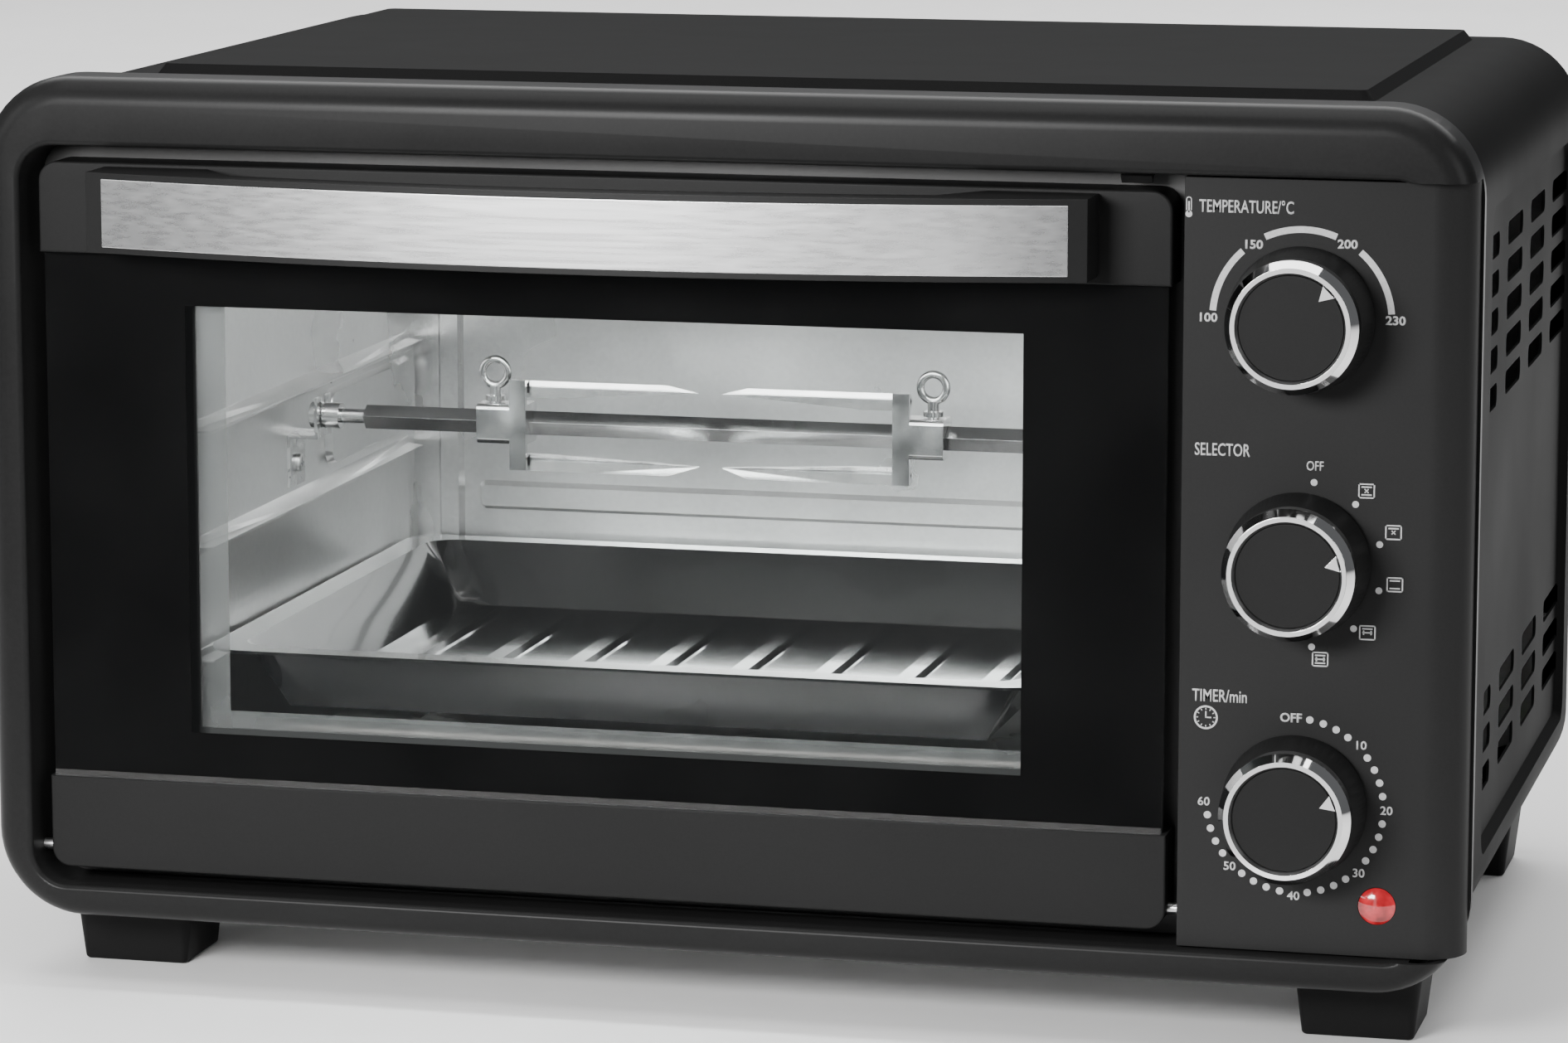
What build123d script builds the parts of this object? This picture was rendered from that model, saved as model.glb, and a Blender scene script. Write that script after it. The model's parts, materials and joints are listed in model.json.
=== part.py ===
from build123d import *
import math
import os

# A table-top rotisserie oven: a sheet-steel case with a moulded front bezel, a bright inner cavity
# with four heating rods, a drop-down glass door, a driven spit with two forks, a convection fan,
# a sliding baking tray and three rotary controls.
# Axes: +X to the user's right, -Y to the front, +Z up.
# Origin: on the table, under the middle of the object's box.
# "Depth" below is measured from the door's outer face towards the rear.

# ---------------------------------------------------------------- driving dimensions (mm)
body_width = 500.0
body_height = 286.0
body_depth = 318.2        # door face to the rear panel's outer face
foot_height = 22.0
handle_reach = 38.0       # door face to the handle's foremost point
gland_reach = 7.0         # cord gland behind the rear panel

# front bezel
bezel_proud = 6.0
bezel_back = 18.0
bezel_wall = 2.5
bezel_corner = 30.0
bezel_front_round = 9.0
bezel_lip_round = 2.0
bezel_hollow_round = 5.0
bezel_hollow_lip = 0.8
bezel_side = 14.0         # visible width of the side rail
bezel_sill = 11.7         # height of the lower beam
bezel_head = 22.6         # height of the upper beam
bezel_inner_corner = 12.0

# sheet-steel cover and plates
sheet = 1.0
cover_inset = 3.0
cover_front = 14.5
flange_width = 17.0       # under the cover, at its sides
rear_flange = 12.0
plateau_rise = 3.5
plateau_margin_side = 38.0
plateau_corner = 6.0
recess_corner = 8.0
plateau_front = 52.0
plateau_rear_margin = 12.0
press_slope = 40.0
recess_depth = 3.0
recess_front = 62.0
recess_rear_margin = 16.0
recess_bottom_margin = 32.0
recess_top_margin = 38.0
louvre_length = 42.0
louvre_height = 8.0
louvre_corner = 3.0
louvre_pitch = 12.7
louvre_end_margin = 22.0   # recess edge to the middle of the first and last column
louvre_columns = 4
louvre_rows_upper = 5
louvre_rows_lower = 3
louvre_top_margin = 16.0
louvre_low_margin = 21.6
blade_drop = 5.4           # the pressed-in hood slopes down and inwards
blade_depth = 4.6
blade_thick = 1.0

# control panel
panel_width = 93.5         # left edge to the bezel's outer face
panel_wall = 2.5
panel_edge_round = 13.5
panel_back = 14.0
panel_gap_top = 1.0
panel_gap_bottom = 0.5
panel_side_gap = 1.0
shaft_hole_clear = 1.0
knob_from_panel = 38.0
knob_low_margin = 48.9    # bezel sill to the lowest knob
knob_top_margin = 45.4    # bezel head to the highest knob
lamp_from_panel = 65.0
lamp_margin = 17.3
lamp_radius = 6.0
lamp_fit = 0.1

# knobs
knob_base_radius = 23.4
knob_ring_radius = 21.3
knob_disc_radius = 16.6
knob_length = 23.0
knob_clear = 1.2          # knob skirt to panel
ring_depth = 8.0
disc_sink = 1.8
pointer_length = 4.2
pointer_half = 2.6
shaft_radius = 3.0
shaft_fit = 0.05
pointer_angles = (45.0, 74.0, 67.5)   # clockwise from upright: thermostat, selector, timer

# cavity
cavity_side_margin_left = 45.0     # door edge to the cavity wall
cavity_side_margin_right = 42.6
cavity_bottom_margin = 21.1
cavity_top_margin = 5.5
cavity_back_margin = 50.2          # rear panel face to the cavity's rear wall
front_frame_sheet = 1.2
shelf_rise = 6.0
shelf_height = 7.0
shelf_steps = (51.0, 90.0, 130.0)     # upper faces of the shelf ribs above the cavity floor
rod_radius = 3.25
rod_front_margin = 68.0   # bezel back to the front rods
rod_rear_margin = 62.0    # cavity's rear wall to the rear rods
upper_rod_drop = 14.0
lower_rod_rise = 13.0
rod_clear = 0.2

# spit
spit_depth = 129.0
spit_above_shelf = 27.5   # above the middle shelf rib
spit_side = 6.0
spit_twist = 35.0
spit_bar_start = 27.0     # cavity wall to the square part
spit_end_start = 7.0      # cavity wall to the spit's end
neck_radius = 2.6
collar_radius = 4.6
ear_start = 10.2          # cavity wall to the bearing ear
ear_sheet = 1.2
socket_radius = 6.0
socket_reach = 12.0       # socket inside the cavity
socket_wall_clear = 1.0
fork_left_place = 79.0    # cavity walls to the fork saddles
fork_right_place = 67.0
fork_hub_half = 9.0
fork_spread = 13.0
tine_length = 62.0
fork_travel = 30.0
screw_radius = 2.0
screw_fit = 0.06

# door
door_gap_left = 5.0       # around the closed door
door_gap_right = 3.9
door_gap_bottom = 5.2
door_gap_top = 5.9
door_depth = 16.5
cap_height = 30.5
rail_height = 31.4
glass_inset = 1.6
glass_set_back = 0.6
glass_thick = 4.0
door_corner = 6.5
window_margin_left = 50.0
window_margin_right = 48.6
window_margin_bottom = 48.1
window_margin_top = 47.5
inner_glass_thick = 3.0
hinge_depth = 7.0
hinge_rise = 5.9          # door's lower edge to the hinge axis
hinge_radius = 2.0
hinge_fit = 0.06

# handle
strip_half = 162.0
strip_thick = 1.2
strip_height = 22.6
strip_drop = 14.5         # door's upper edge to the strip's middle
bar_half = 168.0
bar_height = 26.6
bar_thick = 11.0
bow = 18.0
mount_length = 36.0
mount_slope = 18.0
strip_proud = 0.4

# tray
tray_front_gap = 3.8
tray_back_gap = 6.0
tray_side_gap = 2.5
tray_drop = 22.0
tray_lip = 9.0
tray_wall = 1.0
tray_taper = 32.0
tray_rib_pitch = 30.0

# feet
foot_side_margin = 38.0
foot_front_depth = 44.0
foot_rear_margin = 32.2
foot_length = 40.0
foot_width = 43.0
foot_taper = 7.0
foot_corner = 5.0
foot_edge = 1.5
foot_pocket = 14.0         # depth of the screw pocket
foot_pocket_radius = 4.6

# fan and motors
fan_back_margin = 53.0
fan_rise = 112.0
fan_radius = 44.0
fan_width = 14.0
fan_blades = 12
housing_depth = 24.0

# ---------------------------------------------------------------- derived places
front_y = (handle_reach - body_depth - gland_reach) / 2.0
body_top = foot_height + body_height
half_width = body_width / 2.0
opening_bottom = foot_height + bezel_sill
opening_top = body_top - bezel_head
cover_half = half_width - cover_inset
cover_bottom = foot_height + cover_inset
cover_top = body_top - plateau_rise
cover_corner = bezel_corner - cover_inset + 2.0
frame_back = bezel_back + front_frame_sheet
recess_rear = body_depth - recess_rear_margin
recess_bottom = foot_height + recess_bottom_margin
recess_top = body_top - recess_top_margin
plateau_rear = body_depth - plateau_rear_margin
panel_left = half_width - panel_width
door_left = -half_width + bezel_side + door_gap_left
door_right = panel_left - door_gap_right
door_bottom = opening_bottom + door_gap_bottom
door_top = opening_top - door_gap_top
door_centre = (door_left + door_right) / 2.0
hinge_z = door_bottom + hinge_rise
window_left = door_left + window_margin_left
window_right = door_right - window_margin_right
window_bottom = door_bottom + window_margin_bottom
window_top = door_top - window_margin_top
strip_z = door_top - strip_drop
knob_x = panel_left + knob_from_panel
knob_low_z = opening_bottom + knob_low_margin
knob_top_z = opening_top - knob_top_margin
knob_heights = (knob_top_z, (knob_top_z + knob_low_z) / 2.0, knob_low_z)
lamp_x = panel_left + lamp_from_panel
lamp_z = opening_bottom + lamp_margin
cavity_left = door_left + cavity_side_margin_left
cavity_right = door_right - cavity_side_margin_right
cavity_bottom = door_bottom + cavity_bottom_margin
cavity_top = door_top - cavity_top_margin
cavity_back = body_depth - cavity_back_margin
shelf_levels = [cavity_bottom + step for step in shelf_steps]
rod_depths = (bezel_back + rod_front_margin, cavity_back - rod_rear_margin)
upper_rod_z = cavity_top - upper_rod_drop
lower_rod_z = cavity_bottom + lower_rod_rise
spit_z = shelf_levels[1] + spit_above_shelf
spit_left_end = cavity_left + spit_end_start
spit_bar_left = cavity_left + spit_bar_start
ear_left = cavity_left + ear_start
socket_mouth = cavity_right - socket_reach
fork_left_x = cavity_left + fork_left_place
fork_right_x = cavity_right - fork_right_place
tray_front = frame_back + tray_front_gap
tray_back = cavity_back - tray_back_gap
foot_x = half_width - foot_side_margin
foot_rear_depth = body_depth - foot_rear_margin
fan_depth = cavity_back - fan_back_margin
fan_z = cavity_bottom + fan_rise
gap = 0.3                 # general clearance between neighbours that only meet loosely
overcut = 1.0             # how far a cutting tool runs past the wall it cuts
weld_depth = 0.2          # how far joined shapes of one piece run into each other
form_lift = 0.01          # lift that keeps a pressed form and its sheet from sharing a plane


def at(depth):
    """Y of a plane the given depth behind the door's outer face."""
    return front_y + depth


def block(x0, x1, d0, d1, z0, z1):
    """Box between two X values, two depths and two heights."""
    centre = ((x0 + x1) / 2, (at(d0) + at(d1)) / 2, (z0 + z1) / 2)
    return Pos(*centre) * Box(abs(x1 - x0), abs(d1 - d0), abs(z1 - z0))


def rod_x(x0, x1, depth, z, radius):
    """Round bar along X."""
    return Pos((x0 + x1) / 2, at(depth), z) * Rot(0, 90, 0) * Cylinder(radius, abs(x1 - x0))


def rod_y(x, d0, d1, z, radius):
    """Round bar along Y."""
    return Pos(x, (at(d0) + at(d1)) / 2, z) * Rot(90, 0, 0) * Cylinder(radius, abs(d1 - d0))


def rod_z(x, depth, z0, z1, radius):
    """Round bar along Z."""
    return Pos(x, at(depth), (z0 + z1) / 2) * Cylinder(radius, abs(z1 - z0))


def slab_y(x0, x1, z0, z1, radius, d0, d1):
    """Plate across Y with rounded corners in the XZ plane."""
    plane = Plane(origin=((x0 + x1) / 2, at(d1), (z0 + z1) / 2), x_dir=(1, 0, 0), z_dir=(0, -1, 0))
    outline = plane * RectangleRounded(x1 - x0, z1 - z0, radius)
    return extrude(outline, amount=d1 - d0)


def pad_x(side, x, d0, d1, z0, z1, rise, radius, slope):
    """Tapered pad that stands on the plane at X and rises along +X (side 1) or -X (side -1)."""
    origin = (x, (at(d0) + at(d1)) / 2, (z0 + z1) / 2)
    plane = Plane(origin=origin, x_dir=(0, 1, 0), z_dir=(side, 0, 0))
    return extrude(plane * RectangleRounded(d1 - d0, z1 - z0, radius), amount=rise, taper=slope)


def pressed(plate, pads, back):
    """Sheet with pads pressed into it: the pads are hollowed by the same shapes moved back."""
    return plate + pads - [Pos(*back) * pad for pad in pads]


def prism_y(points, d0, d1):
    """Prism along Y from (x, z) points."""
    face = Plane.XZ * make_face(Polyline(*points, close=True))
    return Pos(0, at(d0), 0) * extrude(face, amount=-(d1 - d0))


def prism_z(points, z0, z1):
    """Prism along Z from (x, depth) points."""
    face = make_face(Polyline(*[(x, at(d)) for x, d in points], close=True))
    return Pos(0, 0, z0) * extrude(face, amount=z1 - z0)


def prism_x(points, x0, x1):
    """Prism along X from (depth, z) points."""
    face = Plane.YZ * make_face(Polyline(*[(at(d), z) for d, z in points], close=True))
    return Pos(x0, 0, 0) * extrude(face, amount=x1 - x0)


parts = {}


def sector(x_centre, reach, sagitta, half, thick_front, thick_back, z0, z1):
    """Bowed bar in plan: the part of a wide ring whose middle stands at -reach."""
    radius = (half ** 2 + sagitta ** 2) / (2 * sagitta)
    centre = Pos(x_centre, at(radius - reach), (z0 + z1) / 2)
    ring = Cylinder(radius - thick_front, z1 - z0) - Cylinder(radius - thick_back, z1 - z0 + 2)
    return centre * ring


# ---------------------------------------------------------------- case
def bezel_ring(inset, front, outer_round, inner_round):
    """Rounded frame: a plate with the front opening and rounded front edges."""
    outer = slab_y(-half_width + inset, half_width - inset, foot_height + inset, body_top - inset,
                   bezel_corner - inset, front, bezel_back)
    outer = fillet(outer.faces().sort_by(Axis.Y)[0].edges(), outer_round)
    side = half_width - bezel_side + inset
    opening = slab_y(-side, side, opening_bottom - inset, opening_top + inset,
                     bezel_inner_corner + inset, front - 1, bezel_back + 1)
    ring = outer - opening
    front_face = ring.faces().sort_by(Axis.Y)[0]
    return fillet(front_face.inner_wires()[0].edges(), inner_round)


panel_bottom = opening_bottom + panel_gap_bottom
panel_top = opening_top - panel_gap_top
panel_right = half_width - panel_side_gap

bezel = bezel_ring(0, -bezel_proud, bezel_front_round, bezel_lip_round)
hollow = bezel_ring(bezel_wall, -bezel_proud + bezel_wall, bezel_hollow_round, bezel_hollow_lip)
bezel = bezel - Pos(0, form_lift, 0) * hollow
pocket = block(panel_left - 1, half_width + 1, -bezel_proud - 1, panel_back + gap,
               panel_bottom - gap, panel_top + gap)
hinge_pin_hold = 12.0      # pin length inside the door rail
hinge_pin_span_left = (-half_width + bezel_side - bezel_wall, door_left + hinge_pin_hold)
hinge_pin_span_right = (door_right - hinge_pin_hold, panel_left + panel_wall)
pin_hole_radius = hinge_radius + hinge_fit
bezel = bezel - pocket - rod_x(-half_width + bezel_side - bezel_wall - 1, door_left, hinge_depth,
                               hinge_z, hinge_radius)
parts["front_bezel"] = bezel


def panel_form(inset, back):
    """Flat-fronted block whose right vertical edge is rounded."""
    body = block(panel_left + inset, panel_right - inset, inset, back, panel_bottom + inset,
                 panel_top - inset)
    front_edges = body.faces().sort_by(Axis.Y)[0].edges().filter_by(Axis.Z)
    return fillet(front_edges.sort_by(Axis.X)[-1], panel_edge_round - inset)


panel = panel_form(0, panel_back) - panel_form(panel_wall, panel_back + 1)
panel_return = block(panel_left, panel_left + panel_wall, 1, bezel_back, panel_bottom, panel_top)
panel = panel + panel_return
shaft_hole_radius = shaft_radius + shaft_hole_clear
for height in knob_heights:
    panel = panel - rod_y(knob_x, -1, panel_wall + 1, height, shaft_hole_radius)
panel = panel - rod_y(lamp_x, -1, panel_wall + 1, lamp_z, lamp_radius + lamp_fit)
panel = panel - rod_x(panel_left - 1, panel_left + panel_wall + 1, hinge_depth, hinge_z, hinge_radius)
parts["control_panel"] = panel


def case_form(inset, d0, d1):
    """Rounded block with the outline of the cover."""
    half = cover_half - inset
    return slab_y(-half, half, cover_bottom + inset, cover_top - inset, cover_corner - inset, d0, d1)


plateau_plane = Plane(origin=(0, at((plateau_front + plateau_rear) / 2), cover_top - form_lift))
plateau = extrude(plateau_plane * RectangleRounded(2 * (cover_half - plateau_margin_side),
                                                   plateau_rear - plateau_front, plateau_corner),
                  amount=plateau_rise + form_lift, taper=press_slope)
recesses = [pad_x(-side, side * (cover_half + form_lift), recess_front, recess_rear, recess_bottom,
                  recess_top, recess_depth + form_lift, recess_corner, press_slope) for side in (1, -1)]
outer_form = case_form(0, cover_front, body_depth - 2 * sheet) + plateau - recesses
inner_form = case_form(sheet, cover_front - 1, body_depth - 3 * sheet) + Pos(0, 0, -sheet) * plateau
inner_form = inner_form - [Pos(-side * sheet, 0, 0) * recess
                           for side, recess in zip((1, -1), recesses)]
cover = outer_form - inner_form
rear_window = case_form(sheet + rear_flange, body_depth - 4 * sheet, body_depth)
flat_half = cover_half - cover_corner
under = block(-flat_half + flange_width, flat_half - flange_width, cover_front - 1, body_depth,
              cover_bottom - overcut, cover_bottom + sheet + overcut / 2)
cover = cover - [rear_window, under]

louvre_skin = cover_half - recess_depth
slots = []
blades = []
louvre_first = recess_front + louvre_end_margin
louvre_column_pitch = (recess_rear - louvre_end_margin - louvre_first) / (louvre_columns - 1)
upper_row_z = recess_top - louvre_top_margin
lower_row_z = recess_bottom + louvre_low_margin + (louvre_rows_lower - 1) * louvre_pitch
for side in (1, -1):
    for top_z, rows in ((upper_row_z, louvre_rows_upper), (lower_row_z, louvre_rows_lower)):
        for row in range(rows):
            z = top_z - row * louvre_pitch
            for column in range(louvre_columns):
                depth = louvre_first + column * louvre_column_pitch
                plane = Plane(origin=(side * (louvre_skin + 0.5), at(depth), z),
                              x_dir=(0, 1, 0), z_dir=(-side, 0, 0))
                slot = extrude(plane * RectangleRounded(louvre_length, louvre_height, louvre_corner),
                               amount=2 * sheet)
                slots.append(slot)
                root = louvre_skin - sheet + weld_depth
                tip = louvre_skin - sheet - blade_depth
                low = z + louvre_height / 2 - weld_depth
                blade_half = louvre_length / 2 - louvre_corner
                blade = prism_y([(side * root, low), (side * root, low + blade_thick),
                                 (side * tip, low + blade_thick - blade_drop),
                                 (side * tip, low - blade_drop)],
                                depth - blade_half, depth + blade_half)
                blades.append(blade)
cover = cover - slots
cover = cover + blades

foot_places = {
    "foot_front_left": (-foot_x, foot_front_depth),
    "foot_front_right": (foot_x, foot_front_depth),
    "foot_rear_left": (-foot_x, foot_rear_depth),
    "foot_rear_right": (foot_x, foot_rear_depth),
}
foot_screw_inset = 7.0     # towards the middle, so that the screw meets the flange
foot_screw_radius = 2.0
foot_screw_places = [(x - math.copysign(foot_screw_inset, x), depth)
                     for x, depth in foot_places.values()]
for x, depth in foot_screw_places:
    cover = cover - rod_z(x, depth, cover_bottom - 1, cover_bottom + sheet + 1, foot_screw_radius)

screw_inset = 8.0          # from the cover's edge to a screw
side_screw_rise = 65.0
side_screw_drop = 74.0
top_screw_outer = 97.0     # from the cover's side
top_screw_inner = 60.0     # from the middle
rear_screw_places = [(side * x, z) for side in (1, -1)
                     for x, z in ((cover_half - screw_inset, cover_bottom + side_screw_rise),
                                  (cover_half - screw_inset, cover_top - side_screw_drop),
                                  (cover_half - top_screw_outer, cover_top - screw_inset),
                                  (top_screw_inner, cover_top - screw_inset))]
rear_screw_radius = 1.8
rear_flange_front = body_depth - 3 * sheet
for x, z in rear_screw_places:
    cover = cover - rod_y(x, rear_flange_front - 1, body_depth, z, rear_screw_radius)
parts["outer_cover"] = cover

base_bottom = cover_bottom + sheet
base_half = flat_half - overcut
base = block(-base_half, base_half, frame_back, body_depth - 3 * sheet - gap, base_bottom,
             base_bottom + sheet)
base_vents = 8
base_vent_pitch = 8.0
base_vent_half = 2.0
base_vent_start = 30.0     # from the cavity wall
base_vent_front = 90.0
base_vent_margin = 68.0    # from the rear panel
for index in range(base_vents):
    x = cavity_right + base_vent_start + index * base_vent_pitch
    base = base - block(x - base_vent_half, x + base_vent_half, base_vent_front,
                        body_depth - base_vent_margin, base_bottom - overcut, base_bottom + sheet + overcut)
for x, depth in foot_screw_places:
    base = base - rod_z(x, depth, base_bottom - 1, base_bottom + sheet + 1, foot_screw_radius)
parts["base_plate"] = base

rear_front = body_depth - 2 * sheet
rear_face = body_depth - 0.8
rear_inset = 2.0
rear = case_form(rear_inset, rear_front, rear_face)
rear_vents = []
vent_rows = 9
vent_pitch = 9.0
vent_half = 22.0
vent_half_height = 2.0
vent_margin_right = 72.0
vent_margin_left = 100.0
vent_drop = 104.0          # from the cover's top to the first slot
for vent_x in (half_width - vent_margin_right, -half_width + vent_margin_left):
    for row in range(vent_rows):
        z = cover_top - vent_drop - row * vent_pitch
        rear_vents.append(block(vent_x - vent_half, vent_x + vent_half, rear_front - overcut,
                                body_depth + overcut, z - vent_half_height, z + vent_half_height))
rear = rear - rear_vents
gland_x = half_width - vent_margin_right
gland_z = cover_bottom + 45.0
gland_hole_radius = 8.0
gland_fit = 0.1
rear = rear - rod_y(gland_x, rear_front - 1, body_depth + 1, gland_z, gland_hole_radius)
for x, z in rear_screw_places:
    rear = rear - rod_y(x, rear_front - 1, body_depth + 1, z, rear_screw_radius)
parts["rear_panel"] = rear

screws = []
head_height = 2.4
head_radius = 3.6
cross_long = 4.0
cross_short = 0.8
shank = 9.0
for x, z in rear_screw_places:
    head = rod_y(x, rear_face, rear_face + head_height, z, head_radius)
    head = fillet(head.edges().sort_by(Axis.Y)[-1], head_height / 2)
    cross = [Pos(x, at(rear_face + head_height), z) * Box(w, 2.0, h)
             for w, h in ((cross_long, cross_short), (cross_short, cross_long))]
    screws.append(head - cross + rod_y(x, rear_face - shank, rear_face + weld_depth, z, rear_screw_radius))
parts["rear_screws"] = Compound(children=screws)

gland_flange_radius = 11.0
gland_flange = 4.0
gland_nose_radius = 8.5
gland_nut_radius = 9.6
gland_nut = 6.0
cord_radius = 4.2
gland = rod_y(gland_x, rear_face, rear_face + gland_flange, gland_z, gland_flange_radius)
gland = gland + rod_y(gland_x, rear_face + gland_flange - weld_depth, body_depth + gland_reach, gland_z,
                      gland_nose_radius)
gland = gland + rod_y(gland_x, rear_front - gland_nut, rear_face + weld_depth, gland_z,
                      gland_hole_radius - gland_fit)
gland = gland + rod_y(gland_x, rear_front - gland_nut, rear_front, gland_z, gland_nut_radius)
gland = gland - rod_y(gland_x, rear_front - gland_nut - overcut, body_depth + gland_reach + overcut,
                      gland_z, cord_radius)
parts["cord_gland"] = gland

for name, (x, depth) in foot_places.items():
    plane = Plane(origin=(x, at(depth), cover_bottom), x_dir=(1, 0, 0), z_dir=(0, 0, -1))
    foot = extrude(plane * RectangleRounded(foot_width, foot_length, foot_corner), amount=cover_bottom,
                   taper=foot_taper)
    foot = fillet(foot.faces().sort_by(Axis.Z)[0].edges(), foot_edge)
    screw_x = x - math.copysign(foot_screw_inset, x)
    foot = foot - rod_z(screw_x, depth, -overcut, foot_pocket, foot_pocket_radius)
    foot = foot - rod_z(screw_x, depth, foot_pocket, cover_bottom + overcut, foot_screw_radius + screw_fit)
    parts[name] = foot

foot_screws = []
foot_screw_top = cover_bottom + 8.0
for x, depth in foot_screw_places:
    head = rod_z(x, depth, foot_pocket - head_height, foot_pocket, head_radius)
    foot_screws.append(head + rod_z(x, depth, foot_pocket - weld_depth, foot_screw_top, foot_screw_radius))
parts["foot_screws"] = Compound(children=foot_screws)

# ---------------------------------------------------------------- cavity
frame = slab_y(-cover_half + sheet + gap, cover_half - sheet - gap, base_bottom + gap,
               cover_top - sheet - gap, cover_corner - 2 * sheet, bezel_back, frame_back)
frame = frame - slab_y(cavity_left, cavity_right, cavity_bottom, cavity_top, 4.0,
                       bezel_back - 1, frame_back + 1)
for height in knob_heights:
    frame = frame - rod_y(knob_x, bezel_back - 1, frame_back + 1, height, 5.0)
frame = frame - rod_y(lamp_x, bezel_back - 1, frame_back + 1, lamp_z, 5.0)
parts["front_frame"] = frame

shelf_slope = 28.0
field_rise = 2.5           # raised field on the left wall, behind the spit
rib_front = frame_back + 4.0
rib_rear = cavity_back - 5.0


def side_wall(side, plane_x):
    """Cavity side: a sheet with three shelf ribs and a raised field pressed inwards."""
    outer_x = plane_x - side * sheet
    wall = block(outer_x, plane_x, frame_back, cavity_back, cavity_bottom, cavity_top)
    ribs = [pad_x(side, plane_x - side * 0.01, rib_front, rib_rear, top - shelf_height, top,
                  shelf_rise, 2.5, shelf_slope) for top in shelf_levels]
    if side > 0:
        ribs.append(pad_x(side, plane_x - 0.01, spit_depth + 34, rib_rear, shelf_levels[1] + 3,
                          shelf_levels[2] - shelf_height - 2, field_rise, 6.0, shelf_slope))
    return pressed(wall, ribs, (-side * sheet, 0, 0))


left_wall = side_wall(1, cavity_left)
right_wall = side_wall(-1, cavity_right)
rod_places = [(depth, z) for z in (upper_rod_z, lower_rod_z) for depth in rod_depths]
for depth, z in rod_places:
    left_wall = left_wall - rod_x(cavity_left - 9, cavity_left + 9, depth, z, rod_radius + rod_clear)
    right_wall = right_wall - rod_x(cavity_right - 9, cavity_right + 9, depth, z, rod_radius + rod_clear)
bracket_screw_z = spit_z - 17.5
bracket_screw_radius = 1.5
left_wall = left_wall - rod_x(cavity_left - 4, cavity_left + 4, spit_depth, bracket_screw_z,
                              bracket_screw_radius)
right_wall = right_wall - rod_x(cavity_right - 4, cavity_right + 4, spit_depth, spit_z,
                                socket_radius + socket_wall_clear)
grille = []
for ring_radius, count in ((10, 6), (20, 12), (30, 18), (39, 24)):
    for index in range(count):
        angle = 2 * math.pi * index / count
        grille.append(rod_x(cavity_right - 9, cavity_right + 9, fan_depth + ring_radius * math.cos(angle),
                            fan_z + ring_radius * math.sin(angle), 2.2))
right_wall = right_wall - grille
parts["cavity_left_wall"] = left_wall
parts["cavity_right_wall"] = right_wall

rear_wall = block(cavity_left - sheet, cavity_right + sheet, cavity_back, cavity_back + sheet,
                  cavity_bottom - sheet, cavity_top + sheet)


def pad_rear(x0, x1, z0, z1, rise, radius):
    """Pad pressed forwards out of the rear wall."""
    plane = Plane(origin=((x0 + x1) / 2, at(cavity_back + 0.01), (z0 + z1) / 2),
                  x_dir=(1, 0, 0), z_dir=(0, -1, 0))
    return extrude(plane * RectangleRounded(x1 - x0, z1 - z0, radius), amount=rise + 0.01,
                   taper=shelf_slope)


post_width = 10.0
post_pads = [pad_rear(x - post_width / 2, x + post_width / 2, cavity_bottom + 6, cavity_top - 6, 3.0, 3.0)
             for x in (cavity_left + 15, cavity_right - 15)]
step_pad = pad_rear(cavity_left + 26, cavity_right - 26, 122, 133, 3.0, 3.0)
parts["cavity_rear_wall"] = pressed(rear_wall, post_pads + [step_pad], (0, sheet, 0))

ceiling = block(cavity_left - sheet, cavity_right + sheet, frame_back, cavity_back, cavity_top,
                cavity_top + sheet)
floor = block(cavity_left - sheet, cavity_right + sheet, frame_back, cavity_back,
              cavity_bottom - sheet, cavity_bottom)
floor_plane = Plane(origin=((cavity_left + cavity_right) / 2, at((frame_back + cavity_back) / 2),
                            cavity_bottom - sheet - 0.01))
floor_pad = extrude(floor_plane * RectangleRounded(230, 190, 12), amount=sheet + 1.5, taper=shelf_slope)
parts["cavity_ceiling"] = ceiling
parts["cavity_floor"] = pressed(floor, [floor_pad], (0, 0, -sheet))

rod_left = cavity_left - sheet - 9.0
rod_right = cavity_right + sheet + 9.0
insulators = []
heater_names = ("heater_upper_front", "heater_upper_rear", "heater_lower_front", "heater_lower_rear")
insulator_radius = 6.5
for name, (depth, z) in zip(heater_names, rod_places):
    heater = rod_x(rod_left, rod_right, depth, z, rod_radius)
    pin_radius = 1.2
    heater = heater + rod_x(rod_left - 8, rod_left + 1, depth, z, pin_radius)
    heater = heater + rod_x(rod_right - 1, rod_right + 8, depth, z, pin_radius)
    parts[name] = heater
    for inner, outer in ((cavity_left - sheet, rod_left - 4), (cavity_right + sheet, rod_right + 4)):
        bead = rod_x(inner, outer, depth, z, insulator_radius)
        bead = bead - rod_x(inner, rod_left if outer < 0 else rod_right, depth, z, rod_radius)
        bead = bead - rod_x(inner, outer, depth, z, pin_radius)
        insulators.append(bead)
parts["heater_insulators"] = Compound(children=insulators)

# ---------------------------------------------------------------- spit
bracket_width = 16.0
tab_z = spit_z - 6.5
ear_right = ear_left + ear_sheet
plate = block(cavity_left, cavity_left + ear_sheet, spit_depth - bracket_width / 2,
              spit_depth + bracket_width / 2, shelf_levels[1] + 2, tab_z)
tab = block(cavity_left, ear_right, spit_depth - bracket_width / 2, spit_depth + bracket_width / 2,
            tab_z - ear_sheet, tab_z)
ear = block(ear_left, ear_right, spit_depth - bracket_width / 2, spit_depth + bracket_width / 2,
            tab_z - ear_sheet, spit_z + 7.0)
ear_slot_radius = neck_radius + 0.5
ear = ear - rod_x(ear_left - 1, ear_right + 1, spit_depth, spit_z, ear_slot_radius)
ear = ear - block(ear_left - 1, ear_right + 1, spit_depth - ear_slot_radius, spit_depth + ear_slot_radius,
                  spit_z, spit_z + 10)
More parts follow.
